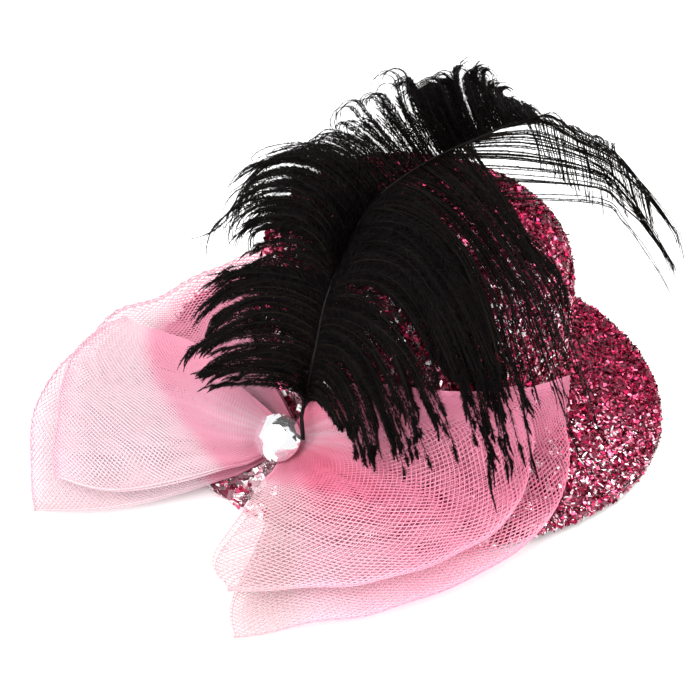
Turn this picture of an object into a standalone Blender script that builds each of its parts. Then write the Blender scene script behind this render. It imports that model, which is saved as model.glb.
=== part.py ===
"""A mini hat on a hair clip, worn as a headpiece.

The hat is an oval moulded shell, crown and brim in one piece, open underneath. Two net bows
are pinched one over the other where the front left of the crown meets the brim, a cut
rhinestone covers their pinch, a long feather rises beside it and arches over the crown, and
a one-piece spring clip sits inside the crown's rim.

X runs along the brim's long axis, Y across it and +Z up. The hat is first laid out about
the middle of its brim, and at the end everything is shifted so that the origin lies under
the middle of the whole part's box, on the surface that the brim rests on.
"""
import math

import bmesh
import bpy
from mathutils import Vector

MM = 0.001

# Hat shell. Every level section is the same oval, so a point is placed by its reach: its
# distance from the hat's axis, measured along X after Y is stretched until the oval is round.
BRIM_REACH = 67.5 * MM          # half the brim's length
OVAL = 121 / 135                # the brim's width over its length
CROWN_REACH = 40.9 * MM         # half the crown's length, just above the brim
CROWN_TAPER = 0.033             # how much narrower the crown is at its top
HAT_HEIGHT = 59 * MM
SHOULDER_POWER = 7.0            # a flat top with a small round shoulder
SHELL_WALL = 1.8 * MM
BRIM_RISE = 3.5 * MM            # the brim climbs this far towards the crown
FLAT_RING = 5.0 * MM            # width of the level ring at the brim's edge
ROOT_RADIUS = 6.0 * MM          # the sweep from the brim up into the crown
CURL_HEIGHT = 2.8 * MM          # the brim's edge curls up a little at its front right
CURL_DIRECTION = math.radians(-56)
CURL_SPREAD = math.radians(42)
SHELL_SEGMENTS = 60

# Net bows. Each is one closed band: out along its under layer, round a fold and back along
# its over layer, on each side of the pinch. Directions and lengths are measured from the
# pinch on the hat's surface laid out flat: where a ray meets the crown, the rest of it
# climbs the crown's wall instead.
PINCH_DIRECTION = math.radians(233)     # seen from the hat's axis
PINCH_OUTER = 3.5 * MM                  # the gathered net's edges, either side of the root
PINCH_INNER = -3.0 * MM
NET_WALL = 1.0 * MM
PLEATS = 18                             # around a full turn
PLEAT_HEIGHT = 0.45 * MM
FAN_COLUMNS = 15
RAY_STEPS = (0.0, 0.10, 0.22, 0.36, 0.52, 0.68, 0.82, 0.93, 1.0)
FOLD_STEPS = 3

# Each layer's middle, in millimetres off the hat: its distance where it is pinched, where it
# lies just clear of the pinch, and at the fold, the bulge halfway, how widely it cuts the
# corner between brim and crown (pinched, then clear), and how far its brim-side edge bows out
# of the loop's mouth.
LAYERS = {
    ("lower_bow", "under"): dict(pinch=0.8, lie=1.6, fold=1.8, bulge=0.2, tight=3.3, corner=4.0, mouth=5.0),
    ("lower_bow", "over"): dict(pinch=2.2, lie=3.4, fold=4.4, bulge=2.0, tight=3.8, corner=6.0, mouth=1.0),
    ("upper_bow", "under"): dict(pinch=3.6, lie=5.2, fold=7.4, bulge=3.4, tight=4.3, corner=8.0, mouth=8.0),
    ("upper_bow", "over"): dict(pinch=5.0, lie=7.0, fold=10.0, bulge=7.0, tight=4.8, corner=10.0, mouth=1.5),
}
PINCH_SHARE = 0.08              # share of a ray that stays pinched, and where it lies clear
CLEAR_SHARE = 0.33
# The fold of each loop, from the brim's side round to the crown's: the ray's direction in
# degrees and its length in millimetres.
FOLDS = {
    ("lower_bow", "left"): ((206.5, 68), (196, 66), (183, 66), (169, 66.5), (155, 65), (141, 67), (128, 65.5),
                            (114, 70), (102, 76), (88, 70)),
    ("lower_bow", "right"): ((-98, 65.5), (-84.5, 58.5), (-69, 57), (-53, 57), (-37, 59.5), (-21, 62.5),
                             (-5, 63.5), (8, 63.5), (18, 57)),
    ("upper_bow", "left"): ((203, 58), (193, 56.5), (182, 55), (171, 56.5), (160, 57.5), (149.5, 57.5),
                            (139, 59.5)),
    ("upper_bow", "right"): ((-101, 53.5), (-88, 49.5), (-74, 49), (-59, 49.5), (-44, 51), (-30, 53),
                             (-15, 52.5), (0, 49.5), (8.5, 44.5), (14, 39)),
}

# Rhinestone: girdle, table and flat culet radii, heights over the culet, and its place out
# from the sharp corner of brim and crown.
STONE_RADIUS = 6.0 * MM
STONE_TABLE = 3.2 * MM
STONE_CULET = 3.6 * MM
STONE_GIRDLE_HEIGHT = 2.4 * MM
STONE_HEIGHT = 4.8 * MM
STONE_OUT = 13.0 * MM
STONE_DROP = 1.0 * MM           # shifted this far towards the brim
STONE_SIDES = 8

# Feather. Each section of the plume has its place on the quill and the tips of its left and
# right barbs, in millimetres.
FEATHER_WALL = 1.2 * MM
QUILL_RADIUS = 0.9 * MM
CROWN_CLEARANCE = 3.2 * MM
STATIONS_PER_SECTION = 3
LOCK_NOTCH = 0.84               # how far back the notch between two locks lies
BARB_LIFT = 0.12                # arch of a barb, over its length
BARB_STEPS = 5
FEATHER_SECTIONS = (
    # quill                  left tip             right tip
    ((-24.5, -40.6, 17.3), (-29.5, -41.0, 20.0), (-19.5, -42.6, 19.0)),
    ((-25.0, -40.0, 28.2), (-45.0, -43.0, 36.0), (-11.0, -52.0, 25.0)),
    ((-23.0, -39.0, 45.0), (-52.0, -38.0, 48.0), (3.0, -50.0, 28.0)),
    ((-21.5, -34.5, 57.0), (-53.5, -27.0, 57.0), (17.0, -47.0, 29.0)),
    ((-18.0, -22.0, 63.5), (-50.0, -12.0, 64.0), (31.0, -42.0, 24.0)),
    ((-12.5, -6.0, 67.0), (-39.0, 2.0, 69.0), (36.0, -36.0, 33.0)),
    ((-2.0, 5.0, 71.0), (-26.0, 17.0, 76.0), (38.0, -27.0, 43.0)),
    ((10.0, 12.0, 75.0), (-6.0, 28.0, 81.0), (37.0, -16.0, 50.0)),
    ((23.0, 19.0, 77.5), (7.0, 32.0, 84.5), (37.0, 2.0, 66.0)),
    ((36.0, 21.5, 74.5), (20.0, 33.0, 78.0), (47.0, 12.0, 62.0)),
    ((47.0, 22.0, 68.5), (39.0, 30.0, 72.0), (55.0, 13.0, 54.0)),
    ((57.0, 19.0, 59.0), (54.0, 27.0, 63.0), (58.5, 11.5, 49.0)),
    ((64.5, 15.0, 51.0), (66.0, 21.5, 54.0), (63.0, 9.0, 44.0)),
)

# Hair clip: a strip of spring steel bent double, inside the front of the crown.
CLIP_DIRECTION = math.radians(270)
CLIP_HALF_ANGLE = math.radians(40)
CLIP_WALL = 0.8 * MM
CLIP_GAP = 1.2 * MM
CLIP_BOTTOM = 7.0 * MM
CLIP_HEIGHT = 9.0 * MM
CLIP_SEAT = 0.3 * MM
CLIP_STEPS = 14


def oval_point(reach, direction, height):
    """The point at this reach, direction (angle on the stretched, round plan) and height."""
    return Vector((reach * math.cos(direction), reach * OVAL * math.sin(direction), height))


def oval_place(x, y):
    """Reach and direction of a plan point."""
    return math.hypot(x, y / OVAL), math.atan2(y / OVAL, x)


def ease(share):
    """A smooth step from 0 to 1."""
    share = min(max(share, 0), 1)
    return share * share * (3 - 2 * share)


def brim_top(reach, direction):
    """Height of the brim's upper surface: level at the edge, rising to the crown's root."""
    root, level = CROWN_REACH + ROOT_RADIUS, BRIM_REACH - FLAT_RING
    aside = math.remainder(direction - CURL_DIRECTION, 2 * math.pi)
    curl = CURL_HEIGHT * ease(1 - abs(aside) / CURL_SPREAD) * ease((reach - root) / (BRIM_REACH - root))
    return SHELL_WALL + BRIM_RISE * ease((level - reach) / (level - root)) + curl


def crown_reach(height):
    """Reach of the crown's wall at this height."""
    level = height / HAT_HEIGHT
    return CROWN_REACH * (1 - CROWN_TAPER * level) * (1 - level ** SHOULDER_POWER) ** (1 / SHOULDER_POWER)


def soft_positive(value, softness):
    """The value kept above zero, with a round bend in place of the corner."""
    return (value + math.hypot(value, softness)) / 2


def smooth_curve(points, place):
    """A point on the Catmull-Rom curve through these vectors; place counts them."""
    first = min(max(int(place), 0), len(points) - 2)
    part = place - first
    before, start = points[max(first - 1, 0)], points[first]
    end, after = points[first + 1], points[min(first + 2, len(points) - 1)]
    return 0.5 * (2 * start + (end - before) * part
                  + (2 * before - 5 * start + 4 * end - after) * part ** 2
                  + (3 * start - before - 3 * end + after) * part ** 3)


def material(name, colour, roughness, metallic=0.0, alpha=1.0):
    made = bpy.data.materials.new(name)
    made.use_nodes = True
    shader = made.node_tree.nodes["Principled BSDF"]
    shader.inputs["Base Color"].default_value = (*colour, 1.0)
    shader.inputs["Roughness"].default_value = roughness
    shader.inputs["Metallic"].default_value = metallic
    shader.inputs["Alpha"].default_value = alpha
    return made


def new_object(name, bm, finish, smooth_angle=None):
    """Put the bmesh into an object of this name, with its material and shading."""
    mesh = bpy.data.meshes.new(name)
    bm.to_mesh(mesh)
    bm.free()
    if smooth_angle is not None:
        mesh.shade_smooth()
        mesh.set_sharp_from_angle(angle=math.radians(smooth_angle))
    mesh.materials.append(finish)
    made = bpy.data.objects.new(name, mesh)
    bpy.context.collection.objects.link(made)
    return made


def thicken(piece, wall, offset):
    """Give a surface its wall. Offset -1 grows it inward, 0 to both sides."""
    solidify = piece.modifiers.new("wall", "SOLIDIFY")
    solidify.thickness = wall
    solidify.offset = offset
    return solidify


def faces_of_grid(bm, rows, close_rows=False):
    """Quads between neighbouring rows of vertices."""
    count = len(rows)
    for first in range(count if close_rows else count - 1):
        row, after = rows[first], rows[(first + 1) % count]
        for column in range(len(row) - 1):
            bm.faces.new((row[column], row[column + 1], after[column + 1], after[column]))


def hat_shell():
    """Crown and brim, turned in one piece, pressed to an oval and given its wall."""
    profile = [(BRIM_REACH, SHELL_WALL), (BRIM_REACH - FLAT_RING / 2, SHELL_WALL)]
    root = CROWN_REACH + ROOT_RADIUS
    slope_steps = 4
    for step in range(slope_steps + 1):
        reach = BRIM_REACH - FLAT_RING + (root - BRIM_REACH + FLAT_RING) * step / slope_steps
        profile.append((reach, brim_top(reach, PINCH_DIRECTION)))
    arc_steps = 5
    middle = brim_top(root, PINCH_DIRECTION) + ROOT_RADIUS
    for step in range(1, arc_steps + 1):
        turn = math.pi / 2 * step / arc_steps
        drop = ROOT_RADIUS * math.cos(turn)
        profile.append((crown_reach(middle - drop) + ROOT_RADIUS * (1 - math.sin(turn)), middle - drop))
    for share in (0.42, 0.62, 0.76, 0.86, 0.93, 0.97, 0.99):
        profile.append((crown_reach(HAT_HEIGHT * share), HAT_HEIGHT * share))
    profile += [(CROWN_REACH * 0.68, HAT_HEIGHT - 0.15 * MM), (CROWN_REACH * 0.35, HAT_HEIGHT), (0, HAT_HEIGHT)]

    bm = bmesh.new()
    points = [bm.verts.new((reach, 0, height)) for reach, height in profile]
    edges = [bm.edges.new(pair) for pair in zip(points, points[1:])]
    bmesh.ops.spin(bm, geom=points + edges, cent=(0, 0, 0), axis=(0, 0, 1), angle=2 * math.pi,
                   steps=SHELL_SEGMENTS, use_merge=True)
    bmesh.ops.remove_doubles(bm, verts=bm.verts, dist=0.001 * MM)
    bmesh.ops.scale(bm, vec=(1, OVAL, 1), verts=bm.verts)
    for vert in bm.verts:
        reach, direction = oval_place(vert.co.x, vert.co.y)
        if reach > root:
            vert.co.z = brim_top(reach, direction)
    bmesh.ops.recalc_face_normals(bm, faces=bm.faces)
    shell = new_object("hat_shell", bm, material("glitter", (0.45, 0.02, 0.10), 0.35), 40)
    thicken(shell, SHELL_WALL, -1).use_even_offset = True


def fold_end(bow, side, across):
    """Direction and length of a loop's ray; across runs 0 to 1 from brim side to crown side."""
    rows = [Vector(row) for row in FOLDS[bow, side]]
    direction, length = smooth_curve(rows, across * (len(rows) - 1))
    return math.radians(direction), length * MM


def pinch_plan(across):
    """Plan point of the pinch, from its outer edge to its inner edge."""
    offset = PINCH_OUTER + (PINCH_INNER - PINCH_OUTER) * across
    return oval_point(CROWN_REACH + offset, PINCH_DIRECTION, 0)


def over_the_hat(plan, stand_off, wall_gap, corner):
    """Lay a plan point on the hat: flat over the brim, and up the wall where it meets one."""
    reach, direction = oval_place(plan.x, plan.y)
    beyond = reach - CROWN_REACH
    laid_reach = CROWN_REACH + wall_gap + soft_positive(beyond, corner)
    height = brim_top(laid_reach, direction) + stand_off + soft_positive(-beyond, corner)
    return oval_point(laid_reach, direction, height)


def net_point(bow, side, layer, across, along, rounding=0.0):
    """A point of a loop: across the band, along its ray, or round its fold by an angle.

    The rounding runs from 0 on the under layer to pi on the over layer.
    """
    direction, length = fold_end(bow, side, across)
    start = pinch_plan(across)
    foot = oval_point(CROWN_REACH, PINCH_DIRECTION, 0)
    end = foot + length * Vector((math.cos(direction), math.sin(direction), 0))
    out_of_mouth = (end - start).normalized().cross(Vector((0, 0, 1 if side == "right" else -1)))
    bow_out = LAYERS[bow, layer]["mouth"] * MM * math.sin(math.pi * along ** 1.6) * (1 - across) ** 5
    plan = start.lerp(end, along) + out_of_mouth * bow_out

    def settled(values):
        spread = ease((along - PINCH_SHARE) / (CLEAR_SHARE - PINCH_SHARE))
        wall_gap = values["pinch"] + (values["lie"] - values["pinch"]) * spread
        rise = (values["fold"] - values["lie"]) * along
        bulge = values["bulge"] * math.sin(math.pi * along) ** 2
        corner = values["tight"] + (values["corner"] - values["tight"]) * spread
        return Vector((wall_gap + rise + bulge, wall_gap, corner)) * MM

    own = settled(LAYERS[bow, layer])
    if rounding:
        under, over = settled(LAYERS[bow, "under"]), settled(LAYERS[bow, "over"])
        own = under.lerp(over, (1 - math.cos(rounding)) / 2)
        plan += (end - start).normalized() * (over - under).x / 2 * math.sin(rounding)
    from_pinch = plan - foot
    swell = min(from_pinch.length / (20 * MM), 1)
    pleat = PLEAT_HEIGHT * swell * math.cos(PLEATS * math.atan2(from_pinch.y, from_pinch.x))
    return over_the_hat(plan, own.x + pleat, own.y + pleat * 0.3, own.z)


def net_bow(bow, colour):
    """One bow: a closed band through two loops and the pinch between them."""
    bm = bmesh.new()
    rounds = [math.pi * step / (FOLD_STEPS + 1) for step in range(1, FOLD_STEPS + 1)]
    rows = []
    for column in range(FAN_COLUMNS):
        across = column / (FAN_COLUMNS - 1)
        path = [net_point(bow, "left", "under", across, along) for along in RAY_STEPS]
        path += [net_point(bow, "left", "under", across, 1, turn) for turn in rounds]
        path += [net_point(bow, "left", "over", across, along) for along in reversed(RAY_STEPS)]
        path += [net_point(bow, "right", "over", across, along) for along in RAY_STEPS[1:]]
        path += [net_point(bow, "right", "under", across, 1, math.pi - turn) for turn in rounds]
        path += [net_point(bow, "right", "under", across, along) for along in reversed(RAY_STEPS[1:])]
        rows.append([bm.verts.new(point) for point in path])
    bands = [list(band) for band in zip(*rows)]
    faces_of_grid(bm, bands, close_rows=True)
    bmesh.ops.recalc_face_normals(bm, faces=bm.faces)
    piece = new_object(bow, bm, material(bow + "_net", colour, 0.5, alpha=0.5), 60)
    thicken(piece, NET_WALL, 0)


def rhinestone():
    """A round stone: an eight-sided table, stars, kites, a sixteen-sided girdle and a culet."""
    level = Vector((math.cos(PINCH_DIRECTION), math.sin(PINCH_DIRECTION) / OVAL, 0)).normalized()
    outward = (level + Vector((0, 0, 1))).normalized()
    along = Vector((0, 0, 1)).cross(level)
    upward = outward.cross(along)
    corner = oval_point(CROWN_REACH, PINCH_DIRECTION, brim_top(CROWN_REACH, PINCH_DIRECTION))
    culet = corner + outward * STONE_OUT - upward * STONE_DROP
    crown_height = STONE_HEIGHT - STONE_GIRDLE_HEIGHT
    rings = (
        (STONE_CULET, 0.0, STONE_SIDES, 0.5),
        (STONE_RADIUS, STONE_GIRDLE_HEIGHT, 2 * STONE_SIDES, 0.0),
        (STONE_RADIUS * 0.78, STONE_GIRDLE_HEIGHT + crown_height * 0.6, STONE_SIDES, 0.5),
        (STONE_TABLE, STONE_HEIGHT, STONE_SIDES, 0.0),
    )
    bm = bmesh.new()
    for radius, height, sides, shift in rings:
        for side in range(sides):
            turn = 2 * math.pi * (side + shift) / sides
            spoke = along * math.cos(turn) + upward * math.sin(turn)
            bm.verts.new(culet + outward * height + spoke * radius)
    bmesh.ops.convex_hull(bm, input=bm.verts)
    bmesh.ops.recalc_face_normals(bm, faces=bm.faces)
    new_object("rhinestone", bm, material("cut_glass", (0.9, 0.9, 0.95), 0.05))


def clear_of_crown(point, gap):
    """Move a point out of the crown, straight away from the hat's middle, to leave this gap."""
    reach, direction = oval_place(point.x, point.y)
    share = ((reach / (CROWN_REACH + gap)) ** SHOULDER_POWER
             + (point.z / (HAT_HEIGHT + gap)) ** SHOULDER_POWER) ** (1 / SHOULDER_POWER)
    if share >= 1:
        return point
    return oval_point(reach / share, direction, point.z / share)


def feather_barb(root, tip, lift_from, along):
    """A point on a barb: an arch from the quill to the tip, clear of the crown."""
    away = ((root + tip) / 2 - lift_from).normalized()
    arch = away * (tip - root).length * BARB_LIFT * 4 * along * (1 - along)
    return clear_of_crown(root.lerp(tip, along) + arch, CROWN_CLEARANCE)


def feather():
    """The plume as one sheet of locks, thicker along its quill."""
    columns = [[Vector(row[part]) * MM for row in FEATHER_SECTIONS] for part in range(3)]
    crown_middle = Vector((0, 0, HAT_HEIGHT / 2))
    stations = (len(FEATHER_SECTIONS) - 1) * STATIONS_PER_SECTION
    bm = bmesh.new()
    rows = []
    for station in range(stations + 1):
        quill, left, right = (smooth_curve(column, station / STATIONS_PER_SECTION) for column in columns)
        reach_out = LOCK_NOTCH if station % 3 == 0 else 1.0
        row = [clear_of_crown(quill, CROWN_CLEARANCE)]
        for tip in (left, right):
            beside = 1.2 * QUILL_RADIUS / max((tip - quill).length, 2 * QUILL_RADIUS)
            shares = [beside] + [reach_out * step / BARB_STEPS for step in range(1, BARB_STEPS + 1)]
            row += [feather_barb(quill, tip, crown_middle, share) for share in shares]
            row.reverse()
        rows.append([bm.verts.new(point) for point in row])
    faces_of_grid(bm, rows)
    bmesh.ops.recalc_face_normals(bm, faces=bm.faces)
    bm.verts.index_update()
    on_quill = [row[BARB_STEPS + 1].index for row in rows]
    plume = new_object("feather", bm, material("feather_black", (0.01, 0.01, 0.012), 0.6), 50)
    ridge = plume.vertex_groups.new(name="quill")
    ridge.add(on_quill, 1.0, "REPLACE")
    wall = thicken(plume, 2 * QUILL_RADIUS, 0)
    wall.vertex_group = ridge.name
    wall.thickness_vertex_group = FEATHER_WALL / (2 * QUILL_RADIUS)


def hair_clip():
    """A strip bent double along the crown's inside, one leaf free to open."""
    outer_leaf = crown_reach(CLIP_BOTTOM + CLIP_HEIGHT) - (SHELL_WALL + CLIP_SEAT + CLIP_WALL / 2) / OVAL
    spacing = CLIP_WALL + CLIP_GAP
    path = []
    for step in range(CLIP_STEPS + 1):
        turn = CLIP_DIRECTION + CLIP_HALF_ANGLE * (2 * step / CLIP_STEPS - 1)
        path.append(oval_point(outer_leaf, turn, 0))
    end_turn = CLIP_DIRECTION + CLIP_HALF_ANGLE
    bend_steps = 5
    bend = spacing / 2
    for step in range(1, bend_steps):
        turn = math.pi * step / bend_steps
        reach = outer_leaf - bend + bend * math.cos(turn)
        path.append(oval_point(reach, end_turn + math.sin(turn) * bend / outer_leaf, 0))
    for step in range(CLIP_STEPS, 0, -1):
        turn = CLIP_DIRECTION + CLIP_HALF_ANGLE * (2 * step / CLIP_STEPS - 1)
        path.append(oval_point(outer_leaf - spacing, turn, 0))
    bm = bmesh.new()
    rows = [[bm.verts.new(point + Vector((0, 0, height))) for point in path]
            for height in (CLIP_BOTTOM, CLIP_BOTTOM + CLIP_HEIGHT)]
    faces_of_grid(bm, rows)
    bmesh.ops.recalc_face_normals(bm, faces=bm.faces)
    clip = new_object("hair_clip", bm, material("spring_steel", (0.7, 0.7, 0.7), 0.3, 1.0), 40)
    thicken(clip, CLIP_WALL, 0)


def centre_on_origin():
    """Shift every piece so that the part stands on the origin, under its box's middle."""
    bpy.context.view_layer.update()
    depsgraph = bpy.context.evaluated_depsgraph_get()
    corners = [point.co.copy() for piece in bpy.data.objects if not piece.hide_render
               for point in piece.evaluated_get(depsgraph).data.vertices]
    low = Vector([min(corner[axis] for corner in corners) for axis in range(3)])
    high = Vector([max(corner[axis] for corner in corners) for axis in range(3)])
    shift = Vector(((low.x + high.x) / 2, (low.y + high.y) / 2, 0))
    for piece in bpy.data.objects:
        piece.location = -shift


for old in list(bpy.data.objects):
    bpy.data.objects.remove(old, do_unlink=True)
hat_shell()
net_bow("lower_bow", (0.85, 0.22, 0.40))
net_bow("upper_bow", (0.90, 0.30, 0.48))
rhinestone()
feather()
hair_clip()
centre_on_origin()
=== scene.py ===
# %% [markdown]
# This lesson dresses a mini hat on a hair clip. The real one is an oval hat moulded in one
# piece and rolled in crushed glitter, with two bows of stiff net pinched under a cut stone and
# a soft black plume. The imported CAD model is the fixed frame, so every piece is made where the
# frame already has it, in metres. We start by loading it and keeping its box, because the
# dressed hat may not outgrow it.

# %% Load the frame
import math

import bmesh
import bpy
import numpy as np
from mathutils import Matrix, Vector


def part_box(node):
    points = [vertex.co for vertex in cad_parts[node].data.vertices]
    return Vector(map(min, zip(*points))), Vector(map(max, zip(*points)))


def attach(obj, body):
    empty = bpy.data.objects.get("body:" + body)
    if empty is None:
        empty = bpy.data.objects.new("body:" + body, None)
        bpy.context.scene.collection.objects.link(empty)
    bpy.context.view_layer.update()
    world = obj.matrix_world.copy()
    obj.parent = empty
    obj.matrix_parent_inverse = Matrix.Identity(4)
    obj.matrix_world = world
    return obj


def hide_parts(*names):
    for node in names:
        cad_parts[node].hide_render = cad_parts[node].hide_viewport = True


MM = 0.001
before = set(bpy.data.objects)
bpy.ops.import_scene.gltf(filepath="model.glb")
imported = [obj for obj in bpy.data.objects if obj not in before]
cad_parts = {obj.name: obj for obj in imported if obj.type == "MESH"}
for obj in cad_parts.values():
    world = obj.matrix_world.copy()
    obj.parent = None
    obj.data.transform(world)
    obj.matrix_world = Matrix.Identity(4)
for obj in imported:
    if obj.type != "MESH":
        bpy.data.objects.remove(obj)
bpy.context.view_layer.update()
shell_low, shell_high = (np.array(corner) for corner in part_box("hat_shell"))
hat_middle = np.array([*(shell_low + shell_high)[:2] / 2, 0.0])
print("hat middle in mm", hat_middle / MM)

# %% [markdown]
# The camera comes first, because everything is judged through it. It stands in front of the hat
# and looks down on it by 40 degrees from 62 cm, rolled a little to one side, with the narrow
# view of a long lens. A small shift puts the hat where it stands in the photograph's square.

# %% Camera
CAMERA_DISTANCE = 620 * MM
CAMERA_HEIGHT = math.radians(40)
CAMERA_ROLL = 0.097
AIM_HEIGHT = 20 * MM
LENS_LENGTH, SENSOR_WIDTH = 122.36, 36           # in millimetres
SHIFT_RIGHT, SHIFT_UP = -0.0889, -0.0204         # as shares of the square picture's side

back = Vector((0, -math.cos(CAMERA_HEIGHT), math.sin(CAMERA_HEIGHT)))
level_right, level_up = Vector((1, 0, 0)), Vector((0, math.sin(CAMERA_HEIGHT), math.cos(CAMERA_HEIGHT)))
right = level_right * math.cos(CAMERA_ROLL) + level_up * math.sin(CAMERA_ROLL)
upward = level_up * math.cos(CAMERA_ROLL) - level_right * math.sin(CAMERA_ROLL)
camera_data = bpy.data.cameras.new("camera")
camera_data.lens = LENS_LENGTH
camera_data.sensor_width = SENSOR_WIDTH
camera_data.shift_x = SHIFT_RIGHT
camera_data.shift_y = SHIFT_UP
camera = bpy.data.objects.new("camera", camera_data)
bpy.context.scene.collection.objects.link(camera)
place = Vector(hat_middle) + Vector((0, 0, AIM_HEIGHT)) + back * CAMERA_DISTANCE
camera.matrix_world = Matrix.LocRotScale(place, Matrix((right, upward, back)).transposed(), None)
bpy.context.scene.camera = camera
print("camera at", tuple(round(value, 3) for value in camera.location))

# %% [markdown]
# Every material here is a few nodes on a Principled shader. These small helpers save typing:
# one starts a material, one adds a node with its values, and one joins two sockets.

# %% Material helpers
def start_material(name, **values):
    """A material and its Principled shader, with values set on the shader's own sockets."""
    made = bpy.data.materials.new(name)
    made.use_nodes = True
    shader = made.node_tree.nodes["Principled BSDF"]
    for socket, value in values.items():
        shader.inputs[socket.replace("_", " ")].default_value = value
    return made, shader


def add_node(made, kind, links=None, **values):
    """A node of this kind. Links feed its inputs, and the other values are its properties."""
    node = made.node_tree.nodes.new("ShaderNode" + kind)
    for name, value in values.items():
        setattr(node, name, value)
    for socket, source in (links or {}).items():
        if isinstance(source, bpy.types.NodeSocket):
            made.node_tree.links.new(source, node.inputs[socket])
        else:
            node.inputs[socket].default_value = source
    return node


def ramp(made, factor, stops):
    """A colour ramp over these (place, colour) stops."""
    node = add_node(made, "ValToRGB", {"Fac": factor})
    elements = node.color_ramp.elements
    while len(elements) < len(stops):
        elements.new(0.5)
    for element, (position, colour) in zip(elements, stops):
        element.position = position
        element.color = (*colour, 1.0)
    return node.outputs["Color"]


def join(made, source, shader, socket):
    """The source feeds this socket of the shader."""
    made.node_tree.links.new(source, shader.inputs[socket])


def join_tint(made, shader):
    """The base colour comes from the tint that each point of the mesh carries."""
    tint = add_node(made, "Attribute", attribute_name="tint").outputs["Color"]
    join(made, tint, shader, "Base Color")


print("helpers ready")

# %% [markdown]
# Threads, barbs and flakes come by the thousand, so each kind is worked out as one array and
# becomes one joined mesh. A tube is swept along each row of points: at every point a small
# triangle stands across the path, and the two ends are closed with a cap.

# %% Mesh helpers
def mesh_piece(name, points, faces, finish, colours=None, smooth=True):
    """One object from arrays of points and equal-sided faces, with an optional tint."""
    mesh = bpy.data.meshes.new(name)
    sides = faces.shape[1]
    mesh.vertices.add(len(points))
    mesh.vertices.foreach_set("co", np.ascontiguousarray(points, dtype=np.float32).ravel())
    mesh.loops.add(faces.size)
    mesh.loops.foreach_set("vertex_index", faces.astype(np.int32).ravel())
    mesh.polygons.add(len(faces))
    mesh.polygons.foreach_set("loop_start", np.arange(0, faces.size, sides, dtype=np.int32))
    mesh.update(calc_edges=True)
    if smooth:
        mesh.shade_smooth()
    if colours is not None:
        tint = mesh.attributes.new("tint", "FLOAT_COLOR", "POINT")
        tint.data.foreach_set("color", np.ascontiguousarray(colours, dtype=np.float32).ravel())
    mesh.materials.append(finish)
    piece = bpy.data.objects.new(name, mesh)
    bpy.context.scene.collection.objects.link(piece)
    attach(piece, "root")
    return piece


def unit(vectors):
    """The same directions at length one."""
    return vectors / np.maximum(np.linalg.norm(vectors, axis=-1, keepdims=True), 1e-12)


def tubes(paths, radii, outward=(0.0, 0.0, 1.0)):
    """Points and triangles of three-sided closed tubes: paths is (tubes, points, 3)."""
    count, steps = paths.shape[:2]
    ahead = unit(np.gradient(paths, axis=1))
    side = unit(np.cross(ahead, np.broadcast_to(outward, ahead.shape)) + 1e-9)
    over = np.cross(side, ahead)
    turns = np.radians([90, 210, 330])
    radii = np.broadcast_to(radii, (count, steps))[..., None, None]
    rings = paths[:, :, None] + radii * (side[:, :, None] * np.cos(turns)[:, None]
                                         + over[:, :, None] * np.sin(turns)[:, None])
    index = np.arange(count * steps * 3).reshape(count, steps, 3)
    here, there = index[:, :-1], index[:, 1:]
    nxt = np.roll(index, -1, axis=2)
    walls = np.stack([here, nxt[:, :-1], nxt[:, 1:], here, nxt[:, 1:], there], -1).reshape(-1, 3)
    caps = np.concatenate([index[:, 0, ::-1], index[:, -1]])
    return rings.reshape(-1, 3), np.concatenate([walls, caps])


print("mesh helpers ready")

# %% [markdown]
# The hat's own shape is needed again, because flakes, net and feather all lie on it. Every level
# section is the same oval, so a place on the hat is a reach, a direction and a height, and the
# values here are the ones that the CAD model was made with.

# %% The hat's shape
BRIM_REACH = 67.5 * MM          # half the brim's length
OVAL = 121 / 135                # the brim's width over its length
CROWN_REACH = 40.9 * MM         # half the crown's length, just above the brim
HAT_HEIGHT = 59 * MM
SHOULDER_POWER = 7.0            # a flat top with a small round shoulder
SHELL_WALL = 1.8 * MM
BRIM_RISE = 3.5 * MM            # the brim climbs this far towards the crown
FLAT_RING = 5.0 * MM            # width of the level ring at the brim's edge
ROOT_RADIUS = 6.0 * MM          # the sweep from the brim up into the crown
CURL_HEIGHT = 2.8 * MM          # the brim's edge curls up a little at its front right
CURL_DIRECTION = math.radians(-56)
CURL_SPREAD = math.radians(42)
PINCH_DIRECTION = math.radians(233)     # where the bows are pinched, seen from the hat's axis


def oval_point(reach, direction, height):
    """The point at this reach and direction on the oval that lies at this height."""
    x, y = reach * np.cos(direction), reach * OVAL * np.sin(direction)
    return np.stack(np.broadcast_arrays(x, y, height), -1)


def oval_place(x, y):
    """The reach and direction of the oval that passes through x and y."""
    return np.hypot(x, y / OVAL), np.arctan2(y / OVAL, x)


def ease(share):
    """0 to 1 with a soft start and end, and level beyond them."""
    share = np.clip(share, 0, 1)
    return share * share * (3 - 2 * share)


def brim_top(reach, direction):
    """Height of the brim's upper face."""
    root, level = CROWN_REACH + ROOT_RADIUS, BRIM_REACH - FLAT_RING
    aside = (direction - CURL_DIRECTION + math.pi) % (2 * math.pi) - math.pi
    curl = CURL_HEIGHT * ease(1 - abs(aside) / CURL_SPREAD) * ease((reach - root) / (BRIM_REACH - root))
    return SHELL_WALL + BRIM_RISE * ease((level - reach) / (level - root)) + curl


def clear_of_crown(points, gap):
    """Points inside the crown's skin move straight out of it."""
    reach, direction = oval_place(points[..., 0], points[..., 1])
    outward = (reach / (CROWN_REACH + gap)) ** SHOULDER_POWER
    upwards = (np.maximum(points[..., 2], 0) / (HAT_HEIGHT + gap)) ** SHOULDER_POWER
    share = np.minimum(np.maximum((outward + upwards) ** (1 / SHOULDER_POWER), 0.05), 1)
    return oval_point(reach / share, direction, points[..., 2] / share)


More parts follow.
